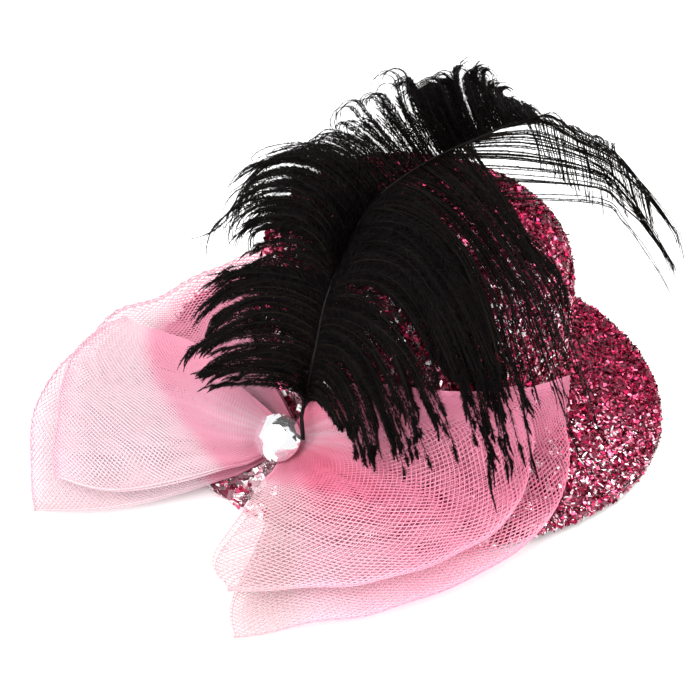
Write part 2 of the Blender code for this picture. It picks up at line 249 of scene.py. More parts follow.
def above_hat(points, gap):
    """Points outside the crown that also stay above the brim and the floor, low ones close to it."""
    points = clear_of_crown(points, gap)
    reach, direction = oval_place(points[..., 0], points[..., 1])
    level = np.where(reach < BRIM_REACH, brim_top(reach, direction), 0) + gap / 4
    height = points[..., 2] - level
    lifted = level + (height + np.hypot(height, gap)) / 2
    return np.concatenate([points[..., :2], lifted[..., None]], -1)


def smooth_curve(rows, place):
    """Points on the Catmull-Rom curve through these rows; place counts the rows."""
    first = np.clip(np.floor(place).astype(int), 0, len(rows) - 2)
    part = (place - first)[..., None]
    before, start = rows[np.maximum(first - 1, 0)], rows[first]
    end, after = rows[first + 1], rows[np.minimum(first + 2, len(rows) - 1)]
    return 0.5 * (2 * start + (end - before) * part
                  + (2 * before - 5 * start + 4 * end - after) * part ** 2
                  + (3 * start - before - 3 * end + after) * part ** 3)


print("crown", 2 * CROWN_REACH / MM, "mm long, brim", 2 * BRIM_REACH / MM, "mm long")

# %% [markdown]
# The shell itself is felt, dyed deep crimson, and the glitter is glued over it. Felt shows only
# between the flakes and on the underside: a dull cloth with a fine fibre grain.

# %% Felt under the glitter
felt, felt_shader = start_material("crimson_felt", Roughness=0.85, Sheen_Weight=0.3)
spot = add_node(felt, "TexCoord").outputs["Object"]
fibre = add_node(felt, "TexNoise", {"Vector": spot, "Scale": 1400.0, "Detail": 4.0}).outputs["Fac"]
crimsons = ramp(felt, fibre, [(0.35, (0.11, 0.004, 0.022)), (0.65, (0.26, 0.012, 0.06))])
join(felt, crimsons, felt_shader, "Base Color")
grain = add_node(felt, "Bump", {"Height": fibre, "Strength": 0.4, "Distance": 0.0003})
join(felt, grain.outputs["Normal"], felt_shader, "Normal")
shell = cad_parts["hat_shell"]
shell.data.materials.clear()
shell.data.materials.append(felt)
print("felt on", shell.name)

# %% [markdown]
# Crushed glitter is torn foil, not dots: chips that stand up at all angles, 1 to 3 mm across at
# the front left and about 1 mm at the right, with a few long slivers. Each chip is one small
# four-sided leaf of mirror foil. It is placed at random on the shell's outer faces, and tilted at
# random, so that a few always catch the light. Most are crimson or maroon and the brightest are
# white. Round the stone the chips are painted whiter, a painted highlight, and at the back they
# are painted darker, a painted shade that is a little less on the brim than on the crown.

# %% Glitter flakes
FLAKES = 60000
FLAKE_TILT = 0.42               # how far a chip leans out of the shell's face
CHIP_REACH, SLIVER_REACH = (0.5, 1.35), (1.2, 2.4)      # half a chip's length, in millimetres
CHIP_BREADTH = (0.3, 0.8)       # a chip's width over its length
SLIVER_SHARE, SLIVER_WIDTH = 0.10, 0.2 * MM
COARSEST, FINER = 1.3, 0.75     # size at the front left, and how much of it is lost at the right
# Painted highlight: the chips round the stone are painted whiter, by this much and this far out.
STONE_PAINTED_HIGHLIGHT, PAINTED_HIGHLIGHT_REACH = 0.95, 19 * MM                  # whiter chips round the stone
# Painted shade: chips at the back are painted darker, a little less on the brim than on the crown.
BRIGHTEST, PAINTED_BACK_SHADE, PAINTED_BACK_SHADE_BRIM_CUT = 1.05, 0.45, 0.05
FLAKE_TINTS = np.array([(0.04, 0.0005, 0.005), (0.15, 0.002, 0.018), (0.48, 0.015, 0.08),
                        (0.90, 0.16, 0.30), (1.0, 0.58, 0.70), (1.0, 0.97, 0.98)])
TINT_STEPS = (0, 0.30, 0.52, 0.71, 0.84, 0.94)          # how bright a chip of each tint is
draw = np.random.default_rng(7)


def outer_faces(piece):
    """Corners and normals of the shell's outer triangles, about the hat's middle."""
    mesh = piece.data
    mesh.calc_loop_triangles()
    points = np.empty(len(mesh.vertices) * 3, np.float32)
    mesh.vertices.foreach_get("co", points)
    corners = np.empty(len(mesh.loop_triangles) * 3, np.int32)
    mesh.loop_triangles.foreach_get("vertices", corners)
    corners = (points.reshape(-1, 3) - hat_middle)[corners.reshape(-1, 3)]
    normals = np.cross(corners[:, 1] - corners[:, 0], corners[:, 2] - corners[:, 0])
    areas = np.linalg.norm(normals, axis=1) / 2
    normals = unit(normals)
    middle = corners.mean(1)
    radial = unit(middle * (1, 1, 0))
    outer = (np.maximum((normals * radial).sum(1), normals[:, 2]) > 0.05) & (areas > 1e-12)
    return corners[outer], normals[outer], areas[outer]


def fineness(x):
    """0 where the chips are coarse, at the front left, to 1 where they are fine, at the right."""
    return ease((x + 30 * MM) / (65 * MM))


corners, normals, areas = outer_faces(shell)
share = areas * (1 + 1.8 * fineness(corners[:, :, 0].mean(1)))
pick = draw.choice(len(areas), FLAKES, p=share / share.sum())
shares = draw.dirichlet((1, 1, 1), FLAKES)
seat = (corners[pick] * shares[:, :, None]).sum(1)
normal = normals[pick]
lean = unit(normal + draw.normal(0, FLAKE_TILT, (FLAKES, 3)))
across = unit(np.cross(lean, draw.normal(0, 1, (FLAKES, 3))))
along = np.cross(lean, across)
sliver = draw.random(FLAKES) < SLIVER_SHARE
length = np.where(sliver, draw.uniform(*SLIVER_REACH, FLAKES), draw.uniform(*CHIP_REACH, FLAKES)) * MM
length = length * (COARSEST - FINER * fineness(seat[:, 0]))
width = np.where(sliver, SLIVER_WIDTH, length * draw.uniform(*CHIP_BREADTH, FLAKES))
seat = seat + normal * (draw.uniform(0.05, 0.55, FLAKES) * MM)[:, None]
quad = np.array([(-1, -1), (1, -1), (1, 1), (-1, 1)])
skew = 1 + draw.uniform(-0.55, 0.25, (FLAKES, 4, 1))
leaves = seat[:, None] + skew * (along[:, None] * (quad[:, :1] * length[:, None, None])
                                 + across[:, None] * (quad[:, 1:] * width[:, None, None]))
leaves[..., 2] = np.maximum(leaves[..., 2], 0.05 * MM)
under_stone = oval_point(CROWN_REACH + 9 * MM, PINCH_DIRECTION, 0)
# Painted highlight round the stone.
stone_painted_highlight = np.exp(-(np.linalg.norm(seat - under_stone, axis=1) / PAINTED_HIGHLIGHT_REACH) ** 2)
# Painted shade at the back, a little less on the brim.
behind = ease((seat[:, 1] + 25 * MM) / (45 * MM))
on_brim = ease((oval_place(seat[:, 0], seat[:, 1])[0] - CROWN_REACH) / (6 * MM))
painted_shade_ceiling = BRIGHTEST - (PAINTED_BACK_SHADE - PAINTED_BACK_SHADE_BRIM_CUT * on_brim) * behind
bright = draw.random(FLAKES) * painted_shade_ceiling + STONE_PAINTED_HIGHLIGHT * stone_painted_highlight
shade = np.interp(bright, TINT_STEPS, range(len(FLAKE_TINTS)))
lower = np.minimum(shade.astype(int), len(FLAKE_TINTS) - 2)
tint = FLAKE_TINTS[lower] + (FLAKE_TINTS[lower + 1] - FLAKE_TINTS[lower]) * (shade - lower)[:, None]
print(FLAKES, "flakes over", round(areas.sum() * 1e4), "square centimetres")

# %% Foil material and the two flake pieces
foil, foil_shader = start_material("crushed_foil", Roughness=0.22, Metallic=0.95)
join_tint(foil, foil_shader)


def flake_piece(name, chosen):
    """One piece of the chosen flakes, each with its own tint."""
    points = leaves[chosen].reshape(-1, 3) + hat_middle
    faces = np.arange(len(points)).reshape(-1, 4)
    colours = np.repeat(np.c_[tint[chosen], np.ones(chosen.sum())], 4, axis=0)
    mesh_piece(name, points, faces, foil, colours, smooth=False)


on_crown = oval_place(seat[:, 0], seat[:, 1])[0] < CROWN_REACH + 3 * MM
flake_piece("crown_glitter", on_crown)
flake_piece("brim_glitter", ~on_crown)
print(on_crown.sum(), "flakes on the crown")

# %% [markdown]
# A net bow is one stiff band, bent into a loop on each side of the pinch. Its surface is worked
# out once: a place across the band and a distance round it give a point on the hat, over the
# brim, up the crown's wall, or round the fold at a loop's end.

# %% The net bows' surface
PINCH_OUTER, PINCH_INNER = 3.5 * MM, -3.0 * MM
PLEATS, PLEAT_HEIGHT = 18, 0.45 * MM
PLEAT_REACH, PLEAT_LEAN = 20 * MM, 0.3           # full from this far on, and their share sideways
PINCH_SHARE, CLEAR_SHARE = 0.08, 0.33            # along a loop: still pinched, and lying clear
FLAT_EDGE = {"left": 0.8, "right": 0.4}          # how flat the fold stays at the band's brim side
MOUTH_SHAPE = {"left": (1.3, 1.0), "right": (4.0, 0.55)}    # how late a mouth opens, and how wide
# Each layer, in millimetres: its stand-off where it is pinched, where it lies clear and at the
# fold, then its bulge, its corner where it is pinched and clear, and how far its mouth opens.
LAYERS = {
    ("lower_bow", "under"): (0.8, 1.6, 1.8, 0.2, 3.3, 4.0, 5.0),
    ("lower_bow", "over"): (2.2, 3.4, 4.4, 2.0, 3.8, 6.0, 5.0),
    ("upper_bow", "under"): (3.6, 5.2, 7.4, 3.4, 4.3, 8.0, 10.0),
    ("upper_bow", "over"): (5.0, 7.0, 10.0, 7.0, 4.8, 10.0, 10.5),
}
# Each loop's fold, from the band's brim side to its crown side: directions in degrees and lengths
# in millimetres, both seen from the pinch.
FOLDS = {
    ("lower_bow", "left"): ((206.5, 68), (196, 66), (183, 66), (169, 66.5), (155, 65), (141, 67),
                            (128, 65.5), (114, 70), (102, 76), (88, 70)),
    ("lower_bow", "right"): ((-98, 65.5), (-84.5, 58.5), (-69, 57), (-53, 57), (-37, 59.5), (-21, 62.5),
                             (-5, 63.5), (8, 62.5), (17, 57), (22.5, 51)),
    ("upper_bow", "left"): ((203, 58), (193, 56.5), (182, 55), (171, 56.5), (160, 57.5),
                            (149.5, 57.5), (142, 54.5)),
    ("upper_bow", "right"): ((-101, 53.5), (-88, 49.5), (-74, 49), (-59, 49.5), (-44, 51), (-30, 53),
                             (-15, 52.5), (0, 49.5), (9, 44.5), (16, 40.5), (23, 37.5)),
}
BAND_WIDTH = {"lower_bow": 127 * MM, "upper_bow": 102 * MM}
LOOP_LENGTH = {("lower_bow", "left"): 66 * MM, ("lower_bow", "right"): 60 * MM,
               ("upper_bow", "left"): 57 * MM, ("upper_bow", "right"): 50 * MM}
FOLD_TURN = 5 * MM              # length of band that goes round a fold


def net_points(bow, side, across, along, rounding):
    """Points of one loop, from its under layer (rounding 0) to its over layer (pi)."""
    rows = np.array(FOLDS[bow, side], float)
    ray = smooth_curve(rows, across * (len(rows) - 1))
    direction, length = np.radians(ray[..., 0]), ray[..., 1] * MM
    pinch_reach = CROWN_REACH + PINCH_OUTER + (PINCH_INNER - PINCH_OUTER) * across
    start = oval_point(pinch_reach, PINCH_DIRECTION, 0.0)
    foot = oval_point(CROWN_REACH, PINCH_DIRECTION, 0.0)
    end = foot + length[..., None] * np.stack([np.cos(direction), np.sin(direction), 0 * direction], -1)
    ray_way = unit(end - start)
    out_of_mouth = np.cross(ray_way, (0, 0, 1 if side == "right" else -1))
    flat_edge = FLAT_EDGE[side] * (1 - across) ** 4
    weight = ((1 - np.cos(rounding)) / 2 * (1 - flat_edge))[..., None]
    under, over = np.array(LAYERS[bow, "under"]), np.array(LAYERS[bow, "over"])
    values = (under * (1 - weight) + over * weight) * MM
    pinch, lie, fold, bulge, tight, corner, mouth = np.moveaxis(values, -1, 0)
    plan = start + (end - start) * along[..., None]
    late, wide = MOUTH_SHAPE[side]
    opening = wide * mouth * np.sin(math.pi * along ** late) * (1 - across) ** 5
    plan = plan + out_of_mouth * opening[..., None]
    half_turn = (over[2] - under[2]) / 2 * MM
    plan = plan + ray_way * (half_turn * np.sin(rounding))[..., None]
    spread = ease((along - PINCH_SHARE) / (CLEAR_SHARE - PINCH_SHARE))
    wall_gap = pinch + (lie - pinch) * spread
    stand_off = wall_gap + (fold - lie) * along + bulge * np.sin(math.pi * along) ** 2
    from_pinch = plan - foot
    turned = np.arctan2(from_pinch[..., 1], from_pinch[..., 0])
    swell = np.minimum(np.linalg.norm(from_pinch, axis=-1) / PLEAT_REACH, 1)
    pleat = PLEAT_HEIGHT * swell * np.cos(PLEATS * turned)
    reach, direction = oval_place(plan[..., 0], plan[..., 1])
    beyond, bend = reach - CROWN_REACH, tight + (corner - tight) * spread
    laid = CROWN_REACH + wall_gap + PLEAT_LEAN * pleat + (beyond + np.hypot(beyond, bend)) / 2
    height = brim_top(laid, direction) + stand_off + pleat + (-beyond + np.hypot(beyond, bend)) / 2
    return oval_point(laid, direction, height)


def band_round(bow):
    """The whole length round the band, and the distances where each of its stretches begins."""
    left, right = LOOP_LENGTH[bow, "left"], LOOP_LENGTH[bow, "right"]
    return np.cumsum([0, left, FOLD_TURN, left, right, FOLD_TURN, right])


def band_points(bow, across, distance):
    """Points of the band: across 0 to 1 from its brim side, distance in metres round it."""
    marks = band_round(bow)
    across, distance = np.broadcast_arrays(across, np.clip(distance, 0, marks[-1] - 1e-9))
    stretch = np.searchsorted(marks, distance, side="right") - 1
    part = (distance - marks[stretch]) / np.diff(marks)[stretch]
    none, full = 0 * part, 1 + 0 * part
    along = np.choose(stretch, (part, full, 1 - part, part, full, 1 - part))
    turned = np.choose(stretch, (none, part, full, full, 1 - part, none)) * math.pi
    left = net_points(bow, "left", across, along, turned)
    right = net_points(bow, "right", across, along, turned)
    return np.where((stretch < 3)[..., None], left, right)


for bow in BAND_WIDTH:
    print(bow, "band is", round(band_round(bow)[-1] / MM), "mm round")

# %% [markdown]
# Millinery net is woven on the bias: two families of stiff nylon threads cross the band at a
# slant, about a millimetre apart, and leave long lozenges between them. Each thread is a thin
# tube along its own slanting line through the band, so the mesh closes up towards the pinch by
# itself, as the real net's does. A corded selvage runs along both edges, and a crease at each
# fold. The threads are clear, so they look pale beyond the brim and rose over the hat; towards
# the right they are painted rosier as painted shade, and where they crowd at the pinch they are
# painted deep pink as painted shade, with a streak of painted highlight there. Where the right
# loops open towards the lower left they are a soft shell pink.

# %% Net material
net_finish, net_shader = start_material("nylon_thread", Roughness=0.45, Specular_IOR_Level=0.25,
                                        Alpha=0.62)
join_tint(net_finish, net_shader)
# The third colour is painted shade where the threads crowd at the pinch, and the fourth is a painted
# highlight there.
PALE, ROSE, PINCH_SHADE_PINK, HIGHLIGHT_WHITE, SHELL_PINK = (np.array(colour) for colour in (
    (0.97, 0.76, 0.82), (0.98, 0.36, 0.53), (0.98, 0.10, 0.24), (1.0, 0.88, 0.97), (0.85, 0.57, 0.61)))


def thread_tint(points, across, shade, crease):
    """Pale beyond the hat, rose over it and at a crease, painted rosier to the right as painted shade,
    shell pink at the right loops' mouths, and near the pinch painted deep pink as painted shade
    with a streak of painted highlight."""
    far = np.linalg.norm(points - pinch_point, axis=1) / MM
    reach = oval_place(points[:, 0], points[:, 1])[0]
    rightward = ease((points[:, 0] - pinch_point[0]) / (14 * MM) + 0.5)
    over_hat = ease((BRIM_REACH + 4 * MM - reach) / (5 * MM)) * (0.8 + 0.2 * rightward)
    # Painted shade: the threads are painted rosier towards the right.
    shaded = 0.78 * ease((points[:, 0] + 34 * MM) / (50 * MM))
    rosy = np.maximum.reduce([over_hat, shaded, 0.6 * crease, 0.3 * rightward])[:, None]
    # Painted shade: deep pink near the pinch, among the crowded layers.
    near = (np.exp(-(far / (12 + 17 * rightward)) ** 2) * (0.8 + 0.2 * rightward))[:, None] * shade
    # Painted highlight: a pale streak across the band near the pinch.
    streak = np.exp(-((across - 0.5 - 0.16 * rightward) / (0.30 - 0.12 * rightward)) ** 2)
    painted_highlight = streak * np.exp(-(far / (28 + 6 * rightward)) ** 2) * (0.75 + 0.25 * np.sin(140 * across))
    mouth = ease((-points[:, 1] - 50 * MM) / (14 * MM)) * ease((-15 * MM - points[:, 0]) / (12 * MM))
    tint = PALE + (ROSE - PALE) * rosy
    tint = tint + (SHELL_PINK - tint) * (mouth * ease(1.2 - across / 0.34))[:, None]
    tint = tint + (PINCH_SHADE_PINK - tint) * near
    return tint + (HIGHLIGHT_WHITE - tint) * painted_highlight[:, None] * 0.92


print("net finish ready")

# %% Threads of one bow
THREAD_SLANT = 0.55             # along the band, for each step across it
THREAD_GAP = 1.12 * MM          # along the band, between neighbouring threads
THREAD_RADIUS = 0.14 * MM
THREAD_STEP = 3.0 * MM          # across the band, between points of a thread
SHORTEST_THREAD = 0.05          # as a share of the way across the band
CROSSING_LIFT = 0.16 * MM       # the second family of threads lies on the first
CORD_RADIUS, CORD_LIFT = 0.17 * MM, 0.08 * MM
CORD_POINTS, CREASE_POINTS = 150, 70
CREASE_REACH = 2.6 * MM         # how far from a fold the threads look creased
# How strong the painted shade near the pinch is, on each bow.
NEAR_SHADE = {"lower_bow": 1.0, "upper_bow": 0.85}
pinch_point = oval_point(CROWN_REACH, PINCH_DIRECTION, 6 * MM)


def thread(bow, across, distance, radius, lift):
    """One closed tube along these places of the band, with the tint of each point."""
    points = band_points(bow, across, distance)
    points[:, 2] += lift
    rings, faces = tubes(points[None], radius)
    marks = band_round(bow)
    folds = (marks[[1, 4]] + marks[[2, 5]]) / 2
    crease = np.exp(-(np.abs(distance[:, None] - folds).min(1) / CREASE_REACH) ** 2)
    tint = thread_tint(points, across, NEAR_SHADE[bow], crease)
    return rings, faces, np.repeat(tint, 3, axis=0)


def band_threads(bow):
    """Both families of slanting threads, then the selvages and the creases."""
    marks = band_round(bow)
    width, around = BAND_WIDTH[bow], marks[-1]
    climb = THREAD_SLANT * width
    made = []
    for slant, lift in ((1, 0.0), (-1, CROSSING_LIFT)):
        for start in np.arange(-climb, around, THREAD_GAP):
            low, high = max(0, -start / climb), min(1, (around - start) / climb)
            if high - low < SHORTEST_THREAD:
                continue
            share = np.linspace(low, high, max(3, int((high - low) * width / THREAD_STEP)))
            across = share if slant > 0 else 1 - share
            made.append(thread(bow, across, start + climb * share, THREAD_RADIUS, lift))
    distance = np.linspace(0, around, CORD_POINTS)
    for edge in (0.0, 1.0):
        made.append(thread(bow, edge + 0 * distance, distance, CORD_RADIUS, CORD_LIFT))
    across = np.linspace(0, 1, CREASE_POINTS)
    for fold in (1, 4):
        middle = (marks[fold] + marks[fold + 1]) / 2
        made.append(thread(bow, across, middle + 0 * across, CORD_RADIUS, 0.0))
    return made


def merged(parts):
    """Several (points, faces, ...) tuples as one, with the faces renumbered."""
    counts = np.cumsum([0] + [len(part[0]) for part in parts])
    faces = [part[1] + count for part, count in zip(parts, counts)]
    return (np.concatenate([part[0] for part in parts]), np.concatenate(faces),
            *(np.concatenate(column) for column in list(zip(*parts))[2:]))


def net_piece(bow):
    """The woven piece of one bow, in place of the frame's own bow, which is hidden."""
    points, faces, colours = merged(band_threads(bow))
    colours = np.c_[colours, np.ones(len(colours))]
    piece = mesh_piece(bow + "_net", points + hat_middle, faces, net_finish, colours)
    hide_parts(bow)
    print(piece.name, len(faces), "triangles")


for bow in BAND_WIDTH:
    net_piece(bow)

# %% [markdown]
# The plume is a long quill with soft barbs along both sides, and every barb carries its own
# fringe of barbules, which is what makes the feather look like fur. The quill follows the
# frame's own middle line. A few key barbs are listed one by one, each through a knee and a tip,
# and all the others are spread between them: they leave the quill, arch over the crown and
# droop, and neighbours draw together into pointed locks. On the right the longest hang down in
# front of the crown and over the net.

# %% Where the plume runs
CROWN_CLEARANCE = 2.2 * MM      # between the crown's skin and the quill
BARB_CLEARANCE = 0.6 * CROWN_CLEARANCE
QUILL_ROWS = np.array([
    (-24.5, -40.6, 17.3), (-25.0, -40.0, 28.2), (-23.0, -39.0, 45.0), (-21.5, -34.5, 57.0),
    (-18.0, -22.0, 63.5), (-12.5, -6.0, 67.0), (-2.0, 5.0, 71.0), (10.0, 12.0, 75.0),
    (23.0, 19.0, 77.5), (36.0, 21.5, 74.5), (47.0, 22.0, 68.5), (57.0, 19.0, 59.0),
    (64.5, 15.0, 51.0)]) * MM
# Each key barb: its place on the quill, counted in rows, then its knee and its tip in millimetres.
BARB_KEYS = {
    "left": [
        (1.05, -29.6, -41.4, 35.2, -44.8, -42.8, 34.1), (1.3, -32.0, -40.6, 38.5, -46.9, -41.5, 34.7),
        (1.8, -34.4, -39.1, 44.6, -49.8, -39.0, 37.4), (2.2, -36.3, -36.9, 50.7, -50.9, -35.8, 39.6),
        (2.6, -36.7, -33.8, 55.0, -49.4, -31.4, 42.5), (3.0, -36.4, -30.8, 57.5, -52.0, -27.0, 46.2),
        (3.35, -35.8, -25.9, 58.1, -51.2, -21.7, 47.8), (3.45, -30.0, -25.0, 65.0, -40.0, -22.0, 57.0),
        (3.6, -31.0, -22.5, 69.5, -46.0, -19.0, 58.5),
        (4.0, -33.7, -17.0, 74.1, -54.6, -12.0, 54.8), (4.4, -32.4, -11.0, 75.2, -52.4, -6.4, 59.0),
        (4.8, -29.9, -5.0, 77.2, -47.2, -0.8, 63.5), (5.1, -26.4, -0.7, 76.9, -42.8, 3.5, 65.8),
        (5.35, -20.7, 2.6, 76.5, -29.5, 7.2, 75.1), (5.7, -15.7, 7.1, 77.5, -23.7, 12.5, 78.2),
        (6.0, -10.1, 11.0, 79.0, -15.7, 17.0, 81.5), (6.4, -5.0, 14.6, 81.4, -8.2, 21.4, 84.2),
        (6.8, 1.2, 18.2, 82.1, -0.7, 25.8, 82.1), (7.2, 7.5, 21.1, 82.7, 5.4, 28.8, 86.3),
        (7.6, 13.7, 23.3, 80.7, 11.7, 30.4, 82.9), (8.0, 19.5, 25.5, 77.4, 17.5, 32.0, 77.7),
        (8.5, 28.7, 26.4, 74.8, 27.1, 32.5, 71.6), (10.0, 47.0, 26.0, 67.9, 46.5, 30.0, 65.6)],
    "right": [
        (1.0, -21.3, -41.4, 30.8, -16.0, -45.2, 25.5), (1.5, -17.7, -42.7, 37.6, -9.9, -52.3, 27.0),
        (2.0, -14.2, -42.5, 44.9, -4.2, -53.3, 30.0), (2.5, -10.9, -40.7, 50.8, 1.3, -51.1, 32.0),
        (3.05, -5.8, -38.1, 58.0, 10.0, -48.6, 34.0), (3.2, -3.9, -35.8, 59.9, 14.0, -47.8, 35.0),
        (4.0, 1.3, -27.8, 63.6, 19.6, -46.9, 37.0), (4.5, 4.8, -22.2, 63.4, 24.2, -45.5, 37.0),
        (5.0, 7.2, -15.3, 63.0, 27.4, -45.0, 37.0)],
    "loose": [
        (4.6, 7.0, -24.0, 62.8, 25.0, -52.9, 31.0), (5.0, 11.2, -22.1, 62.5, 29.5, -51.5, 28.5),
        (5.4, 16.9, -20.1, 62.0, 34.3, -50.1, 26.0), (5.8, 21.3, -19.4, 61.5, 40.0, -33.0, 22.0),
        (6.1, 23.9, -18.4, 61.2, 47.0, -19.0, 13.0), (6.4, 26.0, -15.6, 61.2, 49.5, -10.0, 12.0),
        (6.7, 25.5, -10.0, 61.6, 42.5, -17.0, 33.0), (7.0, 23.0, -2.0, 61.8, 35.5, -16.0, 52.0)],
    "under": [
        (8.0, 26.4, 18.5, 69.5, 28.5, 17.0, 62.0), (8.6, 33.3, 17.5, 69.5, 35.3, 16.0, 61.1),
        (9.2, 41.1, 16.5, 68.0, 44.3, 15.0, 58.4), (10.0, 49.1, 15.5, 65.0, 53.4, 14.0, 55.5),
        (11.0, 57.9, 13.5, 56.4, 60.9, 12.0, 49.8)],
}
CROWN_MIDDLE = np.array((0, 0, HAT_HEIGHT / 2))


def quill_at(place):
    """Points of the quill at these places, counted in rows, clear of the crown."""
    return clear_of_crown(smooth_curve(QUILL_ROWS, np.asarray(place, float)), CROWN_CLEARANCE)


def knees_and_tips(side, place):
    """Knee and tip points of barbs at these places, between the key barbs of one side."""
    keys = np.array(BARB_KEYS[side])
    rows = np.stack([np.interp(place, keys[:, 0], column) for column in keys[:, 1:].T * MM], -1)
    return rows[..., :3], rows[..., 3:]


quill_points = quill_at(np.linspace(0, len(QUILL_ROWS) - 1, 90))
print("quill is", round(np.linalg.norm(np.diff(quill_points, axis=0), axis=1).sum() / MM), "mm long")

# %% Barbs
BARB_POINTS, HOOK_POINTS = 12, 7
LOCK_PULL = 0.42                # how far the barbs of a lock draw together at their tips
ROOT_STRAY = 0.02               # along the quill, in rows
# As shares of a barb's size: how far a whole lock strays, then one barb alone, and its waves.
LOCK_TIP_STRAY, LOCK_KNEE_STRAY, TIP_STRAY, KNEE_STRAY, WAVE = 0.04, 0.02, 0.017, 0.008, 0.004
END_STRAY = 0.04                # as a share of the barb's way
LOCK_BEND_STRAY, BEND_STRAY = 0.25, 0.08
TURN_STRAY, CURL_STRAY = (0.9, 1.1), (0.85, 1.15)
DROOP, BACK_CURL, FORE_CURL = (0.1, -0.2, -1.0), (-0.9, -0.2, -0.5), (0.8, -0.2, -0.6)
draw = np.random.default_rng(21)


def barb_paths(side, first, last, count, lock_size, reaches, turns, bend, curl=(0.12, 0.26)):
    """Rows of barb points on one side: an arched reach through the knee, then a curled tip.

    reaches and turns are the least and the most that a barb covers of its way and turns at
    its tip; bend is the way that the tip curls, and curl its length as a share of the barb."""
    place = np.sort(np.linspace(first, last, count) + draw.normal(0, ROOT_STRAY, count))
    locks = max(count // lock_size, 1)
    lock = np.sort(draw.integers(0, locks, count))
    members = np.maximum(np.bincount(lock, minlength=locks), 1)
    shared = (np.bincount(lock, place, locks) / members)[lock]
    root = quill_at(place)
    knee, tip = knees_and_tips(side, place)
    lock_knee, lock_tip = knees_and_tips(side, shared)
    size = np.linalg.norm(tip - root, axis=1, keepdims=True)
    stray = draw.normal(0, 1, (locks, 6))[lock] * size
    tip = tip + (lock_tip - tip) * LOCK_PULL + stray[:, :3] * LOCK_TIP_STRAY
    tip = tip + draw.normal(0, TIP_STRAY, (count, 3)) * size
    knee = knee + (lock_knee - knee) * LOCK_PULL / 4 + stray[:, 3:] * LOCK_KNEE_STRAY
    knee = knee + draw.normal(0, KNEE_STRAY, (count, 3)) * size
    control = 2 * knee - (root + tip) / 2
    end = (draw.uniform(*reaches, locks)[lock] + draw.normal(0, END_STRAY, count))[:, None, None]
    share = np.linspace(0, 1, BARB_POINTS)[None, :, None] * end
    reach = ((1 - share) ** 2 * root[:, None] + 2 * share * (1 - share) * control[:, None]
             + share ** 2 * tip[:, None])
    way = unit(reach[:, -1] - reach[:, -2])
    bend = np.array(bend) + draw.normal(0, LOCK_BEND_STRAY, (locks, 3))[lock]
    bend = bend + draw.normal(0, BEND_STRAY, (count, 3))
    bend = unit(bend - way * (bend * way).sum(1, keepdims=True))
    turn = (draw.uniform(*turns, locks)[lock] * draw.uniform(*TURN_STRAY, count))[:, None, None]
    turned = turn * np.linspace(0, 1, HOOK_POINTS + 1)[None, 1:, None]
    radius = size[:, :, None] * draw.uniform(*curl, locks)[lock][:, None, None] / turn
    radius = radius * draw.uniform(*CURL_STRAY, (count, 1, 1))
    hook = way[:, None] * np.sin(turned) + bend[:, None] * (1 - np.cos(turned))
    paths = np.concatenate([reach, reach[:, -1:] + radius * hook], axis=1)
    share = np.linspace(0, 1, paths.shape[1])[None, :, None]
    waves = draw.normal(0, WAVE, (count, 2, 3)) * size[:, None]
    paths = (paths + waves[:, :1] * np.sin(math.pi * share * 2)
             + waves[:, 1:] * np.sin(math.pi * share * 3.3))
    return above_hat(paths, BARB_CLEARANCE)


low_left = barb_paths("left", 1.05, 3.35, 140, 4, (0.75, 1.0), (0.2, 0.7), DROOP)
middle_left = barb_paths("left", 3.1, 3.9, 70, 5, (0.5, 0.85), (0.2, 0.9), DROOP)
high_left = barb_paths("left", 3.6, 5.15, 105, 5, (0.65, 0.95), (0.6, 1.7), (-0.3, -0.2, -1.0),
                       (0.2, 0.36))
hooked_left = barb_paths("left", 5.15, 6.6, 44, 6, (0.72, 0.95), (2.4, 3.8), BACK_CURL, (0.32, 0.5))
top_left = barb_paths("left", 6.5, 7.1, 90, 6, (0.62, 0.9), (1.6, 3.4), BACK_CURL, (0.22, 0.4))
fore_left = barb_paths("left", 7.1, 8.3, 130, 6, (0.62, 0.88), (1.2, 3.0), FORE_CURL, (0.2, 0.38))
short_left = barb_paths("left", 3.2, 6.8, 120, 4, (0.3, 0.55), (0.2, 0.6), BACK_CURL)
low_right = barb_paths("right", 1.0, 3.03, 140, 4, (0.82, 1.04), (0.1, 0.4), DROOP, (0.06, 0.18))
high_right = barb_paths("right", 3.19, 5.0, 132, 4, (0.74, 1.06), (0.1, 0.4), DROOP, (0.05, 0.16))
short_right = barb_paths("right", 3.5, 5.0, 70, 4, (0.42, 0.8), (0.1, 0.4), DROOP)
loose_right = barb_paths("loose", 4.6, 6.95, 86, 3, (0.6, 1.02), (0.1, 0.3), DROOP, (0.03, 0.10))
stray_right = barb_paths("loose", 5.0, 7.0, 64, 2, (0.3, 0.8), (0.1, 0.3), DROOP, (0.03, 0.10))

# %% [markdown]
# Towards its tip the feather thins out into a tail of long loose barbs. They leave the quill one
# by one and run side by side over the crown's shoulder, so each is drawn between the tail's
# upper and lower edge instead of towards a tip of its own, and they end in three thin bundles.

# %% Tail barbs
TAIL_EDGE = np.array([
    (44.3, 12.0, 58.8), (51.2, 13.0, 53.1), (57.4, 11.5, 46.5), (64.6, 9.0, 37.9)]) * MM
TAIL_BUNDLES = np.array([0.02, 0.60, 1.0])          # 0 is the tail's upper edge, 1 its lower
TAIL_ROOT, TAIL_ROOT_SPAN = 8.2, 3.2                # rows of the quill where its barbs leave
TAIL_LIFT = np.array((0, 0, 4)) * MM                # of an upper barb where it leaves the quill
TAIL_END = np.array((2.5, -1.0, -6.0)) * MM         # the last stretch of a barb


